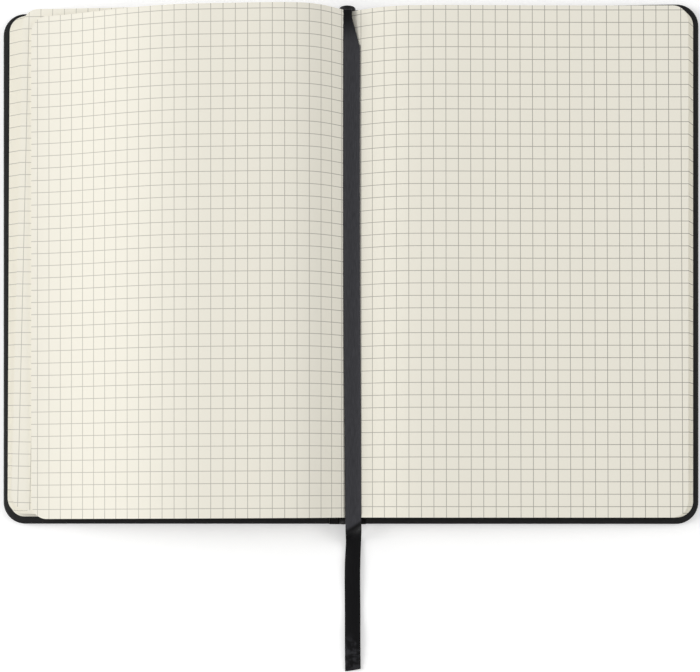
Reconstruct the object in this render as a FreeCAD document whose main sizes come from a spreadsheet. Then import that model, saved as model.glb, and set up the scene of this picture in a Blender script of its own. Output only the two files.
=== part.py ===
import FreeCAD, Part
import Sketcher
import math
import os
from types import SimpleNamespace

from FreeCAD import Placement, Rotation, Vector

# Hard-cover notebook with squared pages, lying open at its middle.
# +X runs across the open book, +Y along the spine towards the head, +Z up.
# The origin is on the table, under the middle of the spine.
# The back cover lies along +X, the front cover along -X. Millimetres.

SIZES = [
    # alias, value, what it is
    ("cover_height", 211.6, "covers and spine, along the spine"),
    ("cover_reach", 143.0, "from the middle of the spine to a cover's fore-edge, lying open"),
    ("cover_corner_radius", 9.0, "rounded corners at a cover's fore-edge"),
    ("board_thickness", 1.8, "grey board"),
    ("board_start", 7.5, "from the middle of the spine to a board's inner edge"),
    ("wrap_thickness", 0.4, "leatherette"),
    ("wrap_edge_round", 0.7, "outer edges, where the leatherette goes round the board"),
    ("turn_in", 13.0, "leatherette folded over inside a cover, from its edge"),
    ("endpaper_thickness", 0.15, "endpaper"),
    ("endpaper_border", 3.0, "leatherette left bare round the endpaper"),
    ("glue_line", 0.03, "between glued pieces"),
    ("fold_line", 5.2, "from the middle of the spine to the line that a cover folds on"),
    ("fold_gap", 0.45, "leatherette parted at the fold line"),
    ("leaf_gap", 0.25, "between an endpaper and the leaf that lies on it"),
    ("fore_square", 2.4, "covers reach this much past the leaves at the fore-edges"),
    ("end_square", 2.7, "covers reach this much past the leaves at the head and the tail"),
    ("page_corner_radius", 6.5, "rounded corners of the leaves"),
    ("leaf_thickness", 0.105, "one leaf, with the air between two leaves"),
    ("front_leaves", 46, "leaves lying on the front cover"),
    ("back_leaves", 50, "leaves lying on the back cover"),
    ("loose_leaves", 2, "front leaves that bulge over the others"),
    ("arch_radius", 3.2, "folds of the leaves, thrown up into an arch"),
    ("gutter_shift", 1.5, "from the middle of the spine to the gutter between the pages"),
    ("gutter_height", 3.95, "gutter, over the endpapers"),
    ("front_crest_height", 16.33, "highest line of the front page, over the endpaper"),
    ("front_crest_reach", 45.0, "from the middle of the spine to that line"),
    ("back_crest_height", 9.62, "highest line of the back page, over the endpaper"),
    ("back_crest_reach", 43.0, "from the middle of the spine to that line"),
    ("front_fan", 3.9, "fore-edges of the front leaves, fanned out"),
    ("back_fan", 2.8, "fore-edges of the back leaves, fanned out"),
    ("loose_setback", 7.0, "fore-edge of the loose leaves, behind the next leaf's"),
    ("lining_thickness", 0.2, "gauze and paper on the folds"),
    ("lining_foot", 1.6, "lower end of the lining, below the middle of the arch"),
    ("card_thickness", 0.35, "card inside the spine"),
    ("card_foot", 1.2, "lower end of the card, below the middle of the arch"),
    ("joint_round", 0.6, "spine leatherette, where it turns into the joint"),
    ("lip_length", 1.6, "leatherette folded over the ends of the card"),
    ("ribbon_width", 7.0, "marker ribbon"),
    ("ribbon_thickness", 0.3, "marker ribbon"),
    ("ribbon_offset", 2.1, "from the middle of the spine to the middle of the ribbon"),
    ("ribbon_gap", 0.1, "between the ribbon's end and the top of the spine"),
    ("ribbon_overhang", 0.65, "middle of the ribbon, in front of the leaves at the head"),
    ("ribbon_rise", 2.47, "middle of the ribbon, over the gutter"),
    ("cut_spare", 1.0, "what a cut reaches past the piece that it is made in"),
]

# A page's line from the gutter to the fore-edge: its slopes in degrees, and its reach, how far (mm) it
# keeps its direction after the gutter, before the crest, after the crest and before the fore-edge.
FRONT_LINE = {"gutter_slope": 36.0, "fore_slope": 6.5, "reach": (11.6, 22.7, 32.7, 30.1)}
BACK_LINE = {"gutter_slope": 20.0, "fore_slope": 1.8, "reach": (17.3, 7.6, 12.8, 60.0)}

# Middle line of the ribbon from the tail of the leaves on: how far (mm) it is past the leaves and over
# the table, at the points where two straight runs would meet.
RIBBON_TAIL = [(8.2, 0.4), (20.6, 1.3), (37.6, 0.5), (52.6, 1.5), (63.0, 0.4)]
RIBBON_TURN = 4.1  # past the leaves, where it bends down
RUN_SHARE = 0.45  # part of the shorter run that an arc takes up


def make_sizes(doc):
    sheet = doc.addObject("Spreadsheet::Sheet", "Sizes")
    for row, (alias, value, note) in enumerate(SIZES, start=1):
        sheet.set(f"A{row}", str(value))
        sheet.set(f"B{row}", note)
        sheet.setAlias(f"A{row}", alias)
    doc.recompute()
    return sheet


# Heights and places that several pieces share, as expressions on the sheet.
WRAP = "Sizes.wrap_thickness"
SPARE = "Sizes.cut_spare"
COVER_TOP = "(2 * Sizes.wrap_thickness + Sizes.board_thickness)"
ENDPAPER_TOP = f"({COVER_TOP} + Sizes.glue_line + Sizes.endpaper_thickness)"
LEAF_FLOOR = f"({ENDPAPER_TOP} + Sizes.leaf_gap)"
COVER_START = "(Sizes.fold_line + Sizes.fold_gap / 2)"
PAGE_REACH = "(Sizes.cover_reach - Sizes.fore_square)"
PAGE_HALF = "(Sizes.cover_height / 2 - Sizes.end_square)"
LINING_OUTER = "(Sizes.arch_radius - Sizes.glue_line)"
LINING_INNER = f"({LINING_OUTER} - Sizes.lining_thickness)"
CARD_OUTER = f"({LINING_INNER} - Sizes.glue_line)"
CARD_INNER = f"({CARD_OUTER} - Sizes.card_thickness)"
SPINE_OUTER = f"({CARD_INNER} - Sizes.glue_line)"
SPINE_INNER = f"({SPINE_OUTER} - Sizes.wrap_thickness)"
LIP_OUTER = f"({LINING_INNER} + Sizes.wrap_thickness)"


def new_body(doc, name):
    body = doc.addObject("PartDesign::Body", name)
    body.Label = name
    return body


def new_sketch(body, name, role, height="0"):
    """A sketch on one of the body's own planes, raised by an expression."""
    plane = next(item for item in body.Origin.OriginFeatures if item.Role == role)
    sketch = body.newObject("Sketcher::SketchObject", name)
    sketch.AttachmentSupport = (plane, [""])
    sketch.MapMode = "FlatFace"
    sketch.setExpression("AttachmentOffset.Base.z", height)
    return sketch


def size_constraint(sketch, name, constraint, expression):
    index = sketch.addConstraint(constraint)
    sketch.renameConstraint(index, name)
    sketch.setExpression(f"Constraints.{name}", expression)


def draw_block(sketch, start, end, low, high):
    """A rectangle from expressions; each may be negative."""
    x0, x1, y0, y1 = (sketch.evalExpression(item) for item in (start, end, low, high))
    corners = [Vector(x0, y0), Vector(x1, y0), Vector(x1, y1), Vector(x0, y1)]
    for index in range(4):
        sketch.addGeometry(Part.LineSegment(corners[index], corners[(index + 1) % 4]))
    for index in range(4):
        sketch.addConstraint(Sketcher.Constraint("Coincident", index, 2, (index + 1) % 4, 1))
    for index in (0, 2):
        sketch.addConstraint(Sketcher.Constraint("Horizontal", index))
        sketch.addConstraint(Sketcher.Constraint("Vertical", index + 1))
    size_constraint(sketch, "start", Sketcher.Constraint("DistanceX", -1, 1, 0, 1, x0), start)
    size_constraint(sketch, "end", Sketcher.Constraint("DistanceX", -1, 1, 2, 1, x1), end)
    size_constraint(sketch, "low", Sketcher.Constraint("DistanceY", -1, 1, 0, 1, y0), low)
    size_constraint(sketch, "high", Sketcher.Constraint("DistanceY", -1, 1, 2, 1, y1), high)


def draw_plate(sketch, start, end, half, radius):
    """A plate from start to end, as wide as half on each side, with its two outer corners rounded."""
    x0, x1, y1, r = (sketch.evalExpression(item) for item in (start, end, half, radius))
    lower = Vector(x1 - r, r - y1)
    upper = Vector(x1 - r, y1 - r)
    axis = Vector(0, 0, 1)
    quarter = math.pi / 2
    sketch.addGeometry(Part.LineSegment(Vector(x0, -y1), Vector(x1 - r, -y1)))
    sketch.addGeometry(Part.ArcOfCircle(Part.Circle(lower, axis, r), -quarter, 0))
    sketch.addGeometry(Part.LineSegment(Vector(x1, r - y1), Vector(x1, y1 - r)))
    sketch.addGeometry(Part.ArcOfCircle(Part.Circle(upper, axis, r), 0, quarter))
    sketch.addGeometry(Part.LineSegment(Vector(x1 - r, y1), Vector(x0, y1)))
    sketch.addGeometry(Part.LineSegment(Vector(x0, y1), Vector(x0, -y1)))
    for index in range(4):
        sketch.addConstraint(Sketcher.Constraint("Tangent", index, 2, index + 1, 1))
    sketch.addConstraint(Sketcher.Constraint("Coincident", 4, 2, 5, 1))
    sketch.addConstraint(Sketcher.Constraint("Coincident", 5, 2, 0, 1))
    sketch.addConstraint(Sketcher.Constraint("Horizontal", 0))
    sketch.addConstraint(Sketcher.Constraint("Horizontal", 4))
    sketch.addConstraint(Sketcher.Constraint("Vertical", 2))
    sketch.addConstraint(Sketcher.Constraint("Equal", 1, 3))
    sketch.addConstraint(Sketcher.Constraint("Symmetric", 0, 1, 4, 2, -1))
    size_constraint(sketch, "start", Sketcher.Constraint("DistanceX", -1, 1, 0, 1, x0), start)
    size_constraint(sketch, "end", Sketcher.Constraint("DistanceX", -1, 1, 2, 1, x1), end)
    size_constraint(sketch, "half", Sketcher.Constraint("DistanceY", -1, 1, 4, 1, y1), half)
    size_constraint(sketch, "radius", Sketcher.Constraint("Radius", 1, r), radius)


def draw_arch(sketch, radius, middle, foot):
    """A round-topped block: legs down from the middle of the arch to the foot."""
    r, z1, z0 = (sketch.evalExpression(item) for item in (radius, middle, foot))
    arc = Part.ArcOfCircle(Part.Circle(Vector(0, z1), Vector(0, 0, 1), r), 0, math.pi)
    sketch.addGeometry(Part.LineSegment(Vector(r, z0), Vector(r, z1)))
    sketch.addGeometry(arc)
    sketch.addGeometry(Part.LineSegment(Vector(-r, z1), Vector(-r, z0)))
    sketch.addGeometry(Part.LineSegment(Vector(-r, z0), Vector(r, z0)))
    sketch.addConstraint(Sketcher.Constraint("Tangent", 0, 2, 1, 1))
    sketch.addConstraint(Sketcher.Constraint("Tangent", 1, 2, 2, 1))
    sketch.addConstraint(Sketcher.Constraint("Coincident", 2, 2, 3, 1))
    sketch.addConstraint(Sketcher.Constraint("Coincident", 3, 2, 0, 1))
    sketch.addConstraint(Sketcher.Constraint("Horizontal", 3))
    sketch.addConstraint(Sketcher.Constraint("PointOnObject", 1, 3, -2))
    sketch.addConstraint(Sketcher.Constraint("Vertical", 0))
    sketch.addConstraint(Sketcher.Constraint("Vertical", 2))
    size_constraint(sketch, "middle", Sketcher.Constraint("DistanceY", -1, 1, 1, 3, z1), middle)
    size_constraint(sketch, "foot", Sketcher.Constraint("DistanceY", -1, 1, 3, 1, z0), foot)
    size_constraint(sketch, "radius", Sketcher.Constraint("Radius", 1, r), radius)


def add_pad(body, sketch, length, side="One side"):
    pad = body.newObject("PartDesign::Pad", f"{sketch.Name}_pad")
    pad.Profile = sketch
    pad.SideType = side
    pad.setExpression("Length", length)
    return pad


def add_pocket(body, sketch, length, side="One side"):
    """Cuts against the sketch's normal, or to both sides of it."""
    pocket = body.newObject("PartDesign::Pocket", f"{sketch.Name}_pocket")
    pocket.Profile = sketch
    pocket.SideType = side
    pocket.setExpression("Length", length)
    return pocket


def add_fillet(body, base, radius, wanted):
    """Rounds the edges of a feature for which wanted(edge) is true."""
    body.Document.recompute()
    names = [f"Edge{index}" for index, edge in enumerate(base.Shape.Edges, start=1) if wanted(edge)]
    fillet = body.newObject("PartDesign::Fillet", f"{base.Name}_fillet")
    fillet.Base = (base, names)
    fillet.setExpression("Radius", radius)
    body.Tip = fillet
    return fillet


def flat_edge_at(height, inner_limit):
    """Tests for an edge that lies at that height and reaches past inner_limit."""
    def wanted(edge):
        box = edge.BoundBox
        level = abs(box.ZMin - height) < 1e-6 and abs(box.ZMax - height) < 1e-6
        return level and box.XMax > inner_limit + 1e-6
    return wanted


def turn_to_front(body):
    """The front cover's pieces are the back cover's, turned half round the spine's middle."""
    body.Placement = Placement(Vector(0, 0, 0), Rotation(Vector(0, 0, 1), 180))


def make_board(doc, name):
    body = new_body(doc, name)
    inset = "(Sizes.wrap_thickness + Sizes.glue_line)"
    outline = new_sketch(body, f"{name}_outline", "XY_Plane", inset)
    draw_plate(
        outline,
        "Sizes.board_start",
        f"Sizes.cover_reach - {inset}",
        f"Sizes.cover_height / 2 - {inset}",
        f"Sizes.cover_corner_radius - {inset}",
    )
    add_pad(body, outline, "Sizes.board_thickness - 2 * Sizes.glue_line")
    return body


def make_cover_wrap(doc, name):
    """Leatherette sheet round a board, open to the endpaper inside and thin at the joint."""
    body = new_body(doc, name)
    outline = new_sketch(body, f"{name}_outline", "XY_Plane")
    draw_plate(
        outline, COVER_START, "Sizes.cover_reach", "Sizes.cover_height / 2", "Sizes.cover_corner_radius"
    )
    block = add_pad(body, outline, COVER_TOP)
    start = body.evalExpression(COVER_START)
    top = body.evalExpression(COVER_TOP)
    rounded = add_fillet(body, block, "Sizes.wrap_edge_round", flat_edge_at(0, start))
    add_fillet(body, rounded, "Sizes.wrap_edge_round", flat_edge_at(top, start))

    cavity = new_sketch(body, f"{name}_cavity", "XY_Plane", f"{WRAP} + Sizes.board_thickness")
    draw_plate(
        cavity,
        "Sizes.board_start - Sizes.glue_line",
        f"Sizes.cover_reach - {WRAP}",
        f"Sizes.cover_height / 2 - {WRAP}",
        f"Sizes.cover_corner_radius - {WRAP}",
    )
    add_pocket(body, cavity, "Sizes.board_thickness")

    window = new_sketch(body, f"{name}_window", "XY_Plane", COVER_TOP)
    draw_block(
        window,
        "Sizes.board_start - Sizes.glue_line",
        "Sizes.cover_reach - Sizes.turn_in",
        "Sizes.turn_in - Sizes.cover_height / 2",
        "Sizes.cover_height / 2 - Sizes.turn_in",
    )
    add_pocket(body, window, WRAP)

    joint = new_sketch(body, f"{name}_joint", "XY_Plane", COVER_TOP)
    draw_block(
        joint,
        f"{COVER_START} - Sizes.fold_gap",
        "Sizes.board_start - Sizes.glue_line",
        f"-Sizes.cover_height / 2 - {SPARE}",
        f"Sizes.cover_height / 2 + {SPARE}",
    )
    add_pocket(body, joint, f"{COVER_TOP} - {WRAP}")
    return body


def make_pastedown(doc, name):
    """Endpaper: over the turn-ins, down onto the board between them, and into the joint."""
    body = new_body(doc, name)
    paper = "Sizes.endpaper_thickness"
    board_top = f"({WRAP} + Sizes.board_thickness + Sizes.glue_line)"
    half = "Sizes.cover_height / 2 - Sizes.endpaper_border"
    inner_half = "(Sizes.cover_height / 2 - Sizes.turn_in - Sizes.glue_line)"
    inner_end = "(Sizes.cover_reach - Sizes.turn_in - Sizes.glue_line)"
    fold_out = "(Sizes.board_start - 2 * Sizes.glue_line)"
    fold_in = f"({fold_out} - {paper})"

    outline = new_sketch(body, f"{name}_outline", "XY_Plane", board_top)
    draw_plate(
        outline,
        fold_in,
        "Sizes.cover_reach - Sizes.endpaper_border",
        half,
        "Sizes.cover_corner_radius - Sizes.endpaper_border",
    )
    add_pad(body, outline, f"{WRAP} + {paper}")

    dip = new_sketch(body, f"{name}_dip", "XY_Plane", f"{board_top} + {WRAP} + {paper}")
    draw_block(
        dip,
        "Sizes.fold_line",
        f"{inner_end} - {paper}",
        f"{paper} - {inner_half}",
        f"{inner_half} - {paper}",
    )
    add_pocket(body, dip, WRAP)

    for side, low, high in (
        ("head", inner_half, f"{half} + {SPARE}"),
        ("tail", f"-({half}) - {SPARE}", f"-{inner_half}"),
    ):
        over = new_sketch(body, f"{name}_over_{side}", "XY_Plane", f"{board_top} + {WRAP}")
        draw_block(over, "Sizes.fold_line", "Sizes.cover_reach", low, high)
        add_pocket(body, over, WRAP)
    over = new_sketch(body, f"{name}_over_fore", "XY_Plane", f"{board_top} + {WRAP}")
    draw_block(
        over, inner_end, "Sizes.cover_reach", f"-{inner_half} - {SPARE}", f"{inner_half} + {SPARE}"
    )
    add_pocket(body, over, WRAP)

    skirt = new_sketch(body, f"{name}_skirt", "XZ_Plane")
    draw_block(skirt, fold_in, fold_out, f"{WRAP} + Sizes.glue_line", f"{board_top} + {paper}")
    add_pad(body, skirt, f"2 * ({half})", "Symmetric")
    hem = new_sketch(body, f"{name}_hem", "XZ_Plane")
    draw_block(
        hem, COVER_START, fold_out, f"{WRAP} + Sizes.glue_line", f"{WRAP} + Sizes.glue_line + {paper}"
    )
    add_pad(body, hem, f"2 * ({half})", "Symmetric")
    return body


def make_spine_sheet(doc):
    """Leatherette of the spine, pushed up into an arch, with a flat wing into each joint."""
    body = new_body(doc, "spine_sheet")
    wing_end = "(Sizes.fold_line - Sizes.fold_gap / 2)"
    wings = new_sketch(body, "spine_wings", "XZ_Plane")
    draw_block(wings, f"-{wing_end}", wing_end, "0", WRAP)
    add_pad(body, wings, "Sizes.cover_height", "Symmetric")
    hump = new_sketch(body, "spine_hump", "XZ_Plane")
    draw_arch(hump, SPINE_OUTER, LEAF_FLOOR, "0")
    base = add_pad(body, hump, "Sizes.cover_height", "Symmetric")
    outer = body.evalExpression(SPINE_OUTER)
    wrap = body.evalExpression(WRAP)

    def root_edge(edge):
        box = edge.BoundBox
        upright = abs(abs(box.XMin) - outer) < 1e-6 and box.XLength < 1e-6
        return upright and abs(box.ZMin - wrap) < 1e-6 and box.ZLength < 1e-6

    add_fillet(body, base, "Sizes.joint_round", root_edge)
    slot = new_sketch(body, "spine_slot", "XZ_Plane")
    draw_arch(slot, SPINE_INNER, LEAF_FLOOR, "0")
    hollow = add_pocket(body, slot, f"Sizes.cover_height + 2 * {SPARE}", "Symmetric")
    inner = body.evalExpression(SPINE_INNER)

    def mouth_edge(edge):
        box = edge.BoundBox
        flat = abs(box.ZMin) < 1e-6 and box.ZLength < 1e-6 and box.XLength < 1e-6
        return flat and abs(abs(box.XMin) - inner) < 1e-6

    add_fillet(body, hollow, f"Sizes.joint_round + {WRAP}", mouth_edge)
    return body


def make_spine_wrap(doc):
    """The spine's sheet, with its leatherette folded over the card at the head and the tail."""
    parts = [make_spine_sheet(doc)]
    for name, sign in (("head_lip", 1), ("tail_lip", -1)):
        body = new_body(doc, name)
        top = new_sketch(body, f"{name}_top", "XZ_Plane", f"{-sign} * (Sizes.cover_height / 2)")
        draw_arch(top, LIP_OUTER, LEAF_FLOOR, f"{LEAF_FLOOR} - Sizes.card_foot")
        pad = add_pad(body, top, "Sizes.lip_length")
        pad.Reversed = sign < 0
        end = f"{-sign} * (Sizes.cover_height / 2 - Sizes.lip_length)"
        seat = new_sketch(body, f"{name}_seat", "XZ_Plane", end)
        draw_arch(seat, LINING_INNER, LEAF_FLOOR, "0")
        pocket = add_pocket(body, seat, f"Sizes.lip_length - {WRAP}")
        pocket.Reversed = sign < 0
        bore = new_sketch(body, f"{name}_bore", "XZ_Plane")
        draw_arch(bore, f"{SPINE_OUTER} - {WRAP} / 2", LEAF_FLOOR, "0")
        add_pocket(body, bore, f"Sizes.cover_height + 2 * {SPARE}", "Symmetric")
        parts.append(body)
    whole = doc.addObject("Part::MultiFuse", "spine_wrap")
    whole.Label = "spine_wrap"
    whole.Shapes = parts
    whole.Refine = True
    return whole


def make_arch_sheet(doc, name, outer, inner, foot, half):
    """A sheet bent over the arch of the spine."""
    body = new_body(doc, name)
    outside = new_sketch(body, f"{name}_outside", "XZ_Plane")
    draw_arch(outside, outer, LEAF_FLOOR, f"{LEAF_FLOOR} - {foot}")
    add_pad(body, outside, f"2 * {half}", "Symmetric")
    inside = new_sketch(body, f"{name}_inside", "XZ_Plane")
    draw_arch(inside, inner, LEAF_FLOOR, f"{LEAF_FLOOR} - {foot} - {SPARE}")
    add_pocket(body, inside, f"2 * ({half} + {SPARE})", "Symmetric")
    return body


def make_spine_card(doc):
    length = "(Sizes.cover_height / 2 - Sizes.wrap_thickness - Sizes.glue_line)"
    return make_arch_sheet(doc, "spine_card", CARD_OUTER, CARD_INNER, "Sizes.card_foot", length)


def make_spine_lining(doc):
    return make_arch_sheet(doc, "spine_lining", LINING_OUTER, LINING_INNER, "Sizes.lining_foot", PAGE_HALF)


def page_measures(sheet):
    """Places of the leaves, worked out from the sheet."""
    endpaper_top = sheet.evalExpression(ENDPAPER_TOP)
    floor = sheet.evalExpression(LEAF_FLOOR)
    reach = sheet.evalExpression(PAGE_REACH)
    loose = sheet.loose_leaves * sheet.leaf_thickness
    front_top = floor + sheet.front_leaves * sheet.leaf_thickness - loose
    return SimpleNamespace(
        floor=floor,
        reach=reach,
        loose=loose,
        arch=sheet.arch_radius,
        corner=sheet.page_corner_radius,
        half=sheet.evalExpression(PAGE_HALF),
        spare=sheet.cut_spare,
        gutter=Vector(sheet.gutter_shift, 0, endpaper_top + sheet.gutter_height),
        front_crest=Vector(-sheet.front_crest_reach, 0, endpaper_top + sheet.front_crest_height),
        back_crest=Vector(sheet.back_crest_reach, 0, endpaper_top + sheet.back_crest_height),
        front_edge=Vector(sheet.front_fan - reach, 0, front_top),
        back_edge=Vector(reach - sheet.back_fan, 0, floor + sheet.back_leaves * sheet.leaf_thickness),
        loose_edge=Vector(sheet.front_fan + sheet.loose_setback - reach, 0, front_top + loose),
    )


def page_line(gutter, crest, edge, line):
    """A page seen from its end: two Bezier arcs, from the gutter over the crest to the fore-edge."""
    side = math.copysign(1, crest.x)
    after_gutter, before_crest, after_crest, before_edge = line["reach"]
    rise = math.radians(line["gutter_slope"])
    fall = math.radians(line["fore_slope"])
    across = Vector(side, 0, 0)
    uphill = across * math.cos(rise) + Vector(0, 0, math.sin(rise))
    downhill = across * math.cos(fall) - Vector(0, 0, math.sin(fall))
    inner = Part.BezierCurve()
    inner.setPoles([gutter, gutter + uphill * after_gutter, crest - across * before_crest, crest])
    outer = Part.BezierCurve()
    outer.setPoles([crest, crest + across * after_crest, edge - downhill * before_edge, edge])
    return [inner.toShape(), outer.toShape()]


def face_inside(edges):
    return Part.Face(Part.Wire(Part.__sortEdges__(edges)))


def block_face(pages):
    """Both stacks from their ends, without the loose leaves: flat below, hollow over the spine's arch."""
    drop = Vector(0, 0, -pages.loose)
    low_gutter = pages.gutter + drop
    low_edge = pages.loose_edge + drop
    front_foot = Vector(-pages.reach, 0, pages.floor)
    back_foot = Vector(pages.reach, 0, pages.floor)
    front_spring = Vector(-pages.arch, 0, pages.floor)
    back_spring = Vector(pages.arch, 0, pages.floor)
    arch = Part.Arc(back_spring, Vector(0, 0, pages.floor + pages.arch), front_spring)
    corners = [low_edge, pages.front_edge, front_foot, front_spring]
    edges = [Part.makeLine(start, end) for start, end in zip(corners, corners[1:])]
    edges += [Part.makeLine(back_spring, back_foot), Part.makeLine(back_foot, pages.back_edge)]
    edges += [arch.toShape(), Part.makeLine(pages.gutter, low_gutter)]
    edges += page_line(pages.gutter, pages.back_crest, pages.back_edge, BACK_LINE)
    edges += page_line(low_gutter, pages.front_crest + drop, low_edge, FRONT_LINE)
    return face_inside(edges)


def loose_face(pages):
    """The loose leaves from their ends: a band under the front page's line."""
    drop = Vector(0, 0, -pages.loose)
    edges = page_line(pages.gutter, pages.front_crest, pages.loose_edge, FRONT_LINE)
    edges += page_line(pages.gutter + drop, pages.front_crest + drop, pages.loose_edge + drop, FRONT_LINE)
    edges += [Part.makeLine(point, point + drop) for point in (pages.gutter, pages.loose_edge)]
    return face_inside(edges)


def corner_tools(pages, foot, lean):
    """What a stack's rounded corners leave out: prisms from its foot up, leaning as its fore-edge does."""
    across = Vector(math.copysign(pages.corner, foot.x), 0, 0)
    tools = []
    for along in (Vector(0, pages.corner, 0), Vector(0, -pages.corner, 0)):
        centre = Vector(foot.x, math.copysign(pages.half, along.y), foot.z) - across - along
        arc = Part.Arc(centre + across, centre + (across + along) * math.sqrt(0.5), centre + along)
        outside = [along, along * 2, (across + along) * 2, across * 2, across]
        lines = [Part.makeLine(centre + start, centre + end) for start, end in zip(outside, outside[1:])]
        corner = face_inside([arc.toShape()] + lines)
        tools.append(corner.extrude(Vector(lean, 0, 1) * pages.front_crest.z))
    return tools


def cut_stack(doc, name, section, tools):
    """A stack of leaves: its end face drawn out to the height of the pages, less the corners."""
    face = doc.addObject("Part::Feature", f"{name}_end")
    face.Shape = section
    slab = doc.addObject("Part::Extrusion", f"{name}_slab")
    slab.Base = face
    slab.DirMode = "Custom"
    slab.Dir = Vector(0, 1, 0)
    slab.Symmetric = True
    slab.Solid = True
    slab.setExpression("LengthFwd", f"2 * {PAGE_HALF}")
    corners = doc.addObject("Part::Feature", f"{name}_corners")
    corners.Shape = Part.makeCompound(tools)
    stack = doc.addObject("Part::Cut", f"{name}_stack")
    stack.Base = slab
    stack.Tool = corners
    return stack


def make_pages(doc, sheet):
    """All leaves as one solid: two stacks with fanned fore-edges, joined over the arch of the spine."""
    pages = page_measures(sheet)
    tools = []
    for edge in (pages.front_edge, pages.back_edge):
        foot = Vector(math.copysign(pages.reach, edge.x), 0, pages.floor)
        lean = (edge.x - foot.x) / (edge.z - foot.z)
        tools += corner_tools(pages, foot - Vector(lean, 0, 1) * pages.spare, lean)
    block = cut_stack(doc, "block", block_face(pages), tools)
    loose_foot = pages.loose_edge - Vector(0, 0, pages.loose)
    loose = cut_stack(doc, "loose", loose_face(pages), corner_tools(pages, loose_foot, 0))
    whole = doc.addObject("Part::MultiFuse", "pages")
    whole.Label = "pages"
    whole.Shapes = [block, loose]
    return whole


def tape_side(points, shift):
    """One side of a tape in the YZ plane: straight runs and tangent arcs, moved to the left by shift."""
    edges = []
    last = None
    for before, corner, after in zip(points, points[1:], points[2:]):
        run_in = corner - before
        run_out = after - corner
        half_turn = run_in.getAngle(run_out) / 2
        cut = RUN_SHARE * min(run_in.Length, run_out.Length)
        radius = cut / math.tan(half_turn)
        way_in = run_in.normalize()
        way_out = run_out.normalize()
        way_middle = (way_in + way_out).normalize()
        start = corner - way_in * cut
        end = corner + way_out * cut
        inward = ((start + end) * 0.5 - corner).normalize()
        middle = corner + inward * (radius / math.cos(half_turn) - radius)
        start, middle, end = (
            beside(point, way, shift)
            for point, way in ((start, way_in), (middle, way_middle), (end, way_out))
        )
        if last is None:
            last = beside(points[0], way_in, shift)
        edges.append(Part.makeLine(last, start))
        edges.append(Part.Arc(start, middle, end).toShape())
        last = end
    edges.append(Part.makeLine(last, beside(points[-1], way_out, shift)))
    return edges


def beside(point, way, shift):
    return point + Vector(0, -way.z, way.y) * shift


def make_ribbon(doc, sheet):
    """A flat tape: up from the spine, over the head, down the gutter, over the tail and along the table."""
    half = sheet.evalExpression(PAGE_HALF)
    head = half + sheet.ribbon_overhang
    start = sheet.evalExpression(f"{LEAF_FLOOR} + {LIP_OUTER} + Sizes.ribbon_gap")
    level = sheet.evalExpression(f"{ENDPAPER_TOP} + Sizes.gutter_height + Sizes.ribbon_rise")
    points = [Vector(0, head, start), Vector(0, head, level), Vector(0, -half - RIBBON_TURN, level)]
    points += [Vector(0, -half - past, height) for past, height in RIBBON_TAIL]
    upper, centre, lower = (
        tape_side(points, sheet.ribbon_thickness * side / 2) for side in (1, 0, -1)
    )
    ends = [
        Part.makeLine(upper[0].Vertexes[0].Point, lower[0].Vertexes[0].Point),
        Part.makeLine(upper[-1].Vertexes[-1].Point, lower[-1].Vertexes[-1].Point),
    ]
    section = doc.addObject("Part::Feature", "ribbon_section")
    section.Shape = face_inside(upper + lower + ends)
    ribbon = doc.addObject("Part::Extrusion", "ribbon")
    ribbon.Label = "ribbon"
    ribbon.Base = section
    ribbon.DirMode = "Custom"
    ribbon.Dir = Vector(1, 0, 0)
    ribbon.Symmetric = True
    ribbon.Solid = True
    ribbon.setExpression("LengthFwd", "Sizes.ribbon_width")
    ribbon.setExpression("Placement.Base.x", "Sizes.ribbon_offset")
    return ribbon, centre


def print_ribbon(ribbon, centre, sheet):
    """Its length, its bends, and its volume beside its section times its length."""
    length = sum(edge.Length for edge in centre)
    bends = ", ".join(f"{edge.Curve.Radius:.1f}" for edge in centre if isinstance(edge.Curve, Part.Circle))
    volume = sheet.ribbon_width * sheet.ribbon_thickness * length
    print(f"ribbon: {length:.1f} mm long, bends of {bends} mm")
    print(f"ribbon: {ribbon.Shape.Volume:.1f} mm3, section times length {volume:.1f} mm3")


def check_document(doc, nodes):
    """Stops on a failed object, or a sub-part that is not one valid solid."""
    doc.recompute()
    for item in doc.Objects:
        if "Invalid" in item.State or "Error" in item.State:
            raise RuntimeError(f"{item.Label} failed: {item.getStatusString()}")
    for node in nodes:
        if node.Shape.isNull() or not node.Shape.isValid():
            raise RuntimeError(f"{node.Label} has no valid shape")
        if len(node.Shape.Solids) != 1:
            raise RuntimeError(f"{node.Label} is {len(node.Shape.Solids)} solids")


def write_nodes(nodes):
    os.makedirs("parts", exist_ok=True)
    for node in nodes:
        node.Shape.exportStep(os.path.join("parts", f"{node.Label}.step"))
        print(f"{node.Label}: {node.Shape.Volume:.0f} mm3")


def main():
    doc = FreeCAD.newDocument("GridNotebook")
    sheet = make_sizes(doc)
    nodes = []
    for cover in ("back", "front"):
        pieces = [
            make_board(doc, f"{cover}_board"),
            make_cover_wrap(doc, f"{cover}_cover_wrap"),
            make_pastedown(doc, f"{cover}_pastedown"),
        ]
        if cover == "front":
            for piece in pieces:
                turn_to_front(piece)
        nodes += pieces
    nodes.append(make_spine_wrap(doc))
    nodes.append(make_spine_card(doc))
    nodes.append(make_spine_lining(doc))
    nodes.append(make_pages(doc, sheet))
    ribbon, centre = make_ribbon(doc, sheet)
    nodes.append(ribbon)
    check_document(doc, nodes)
    write_nodes(nodes)
    print_ribbon(ribbon, centre, sheet)


main()
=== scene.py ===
import math

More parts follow.
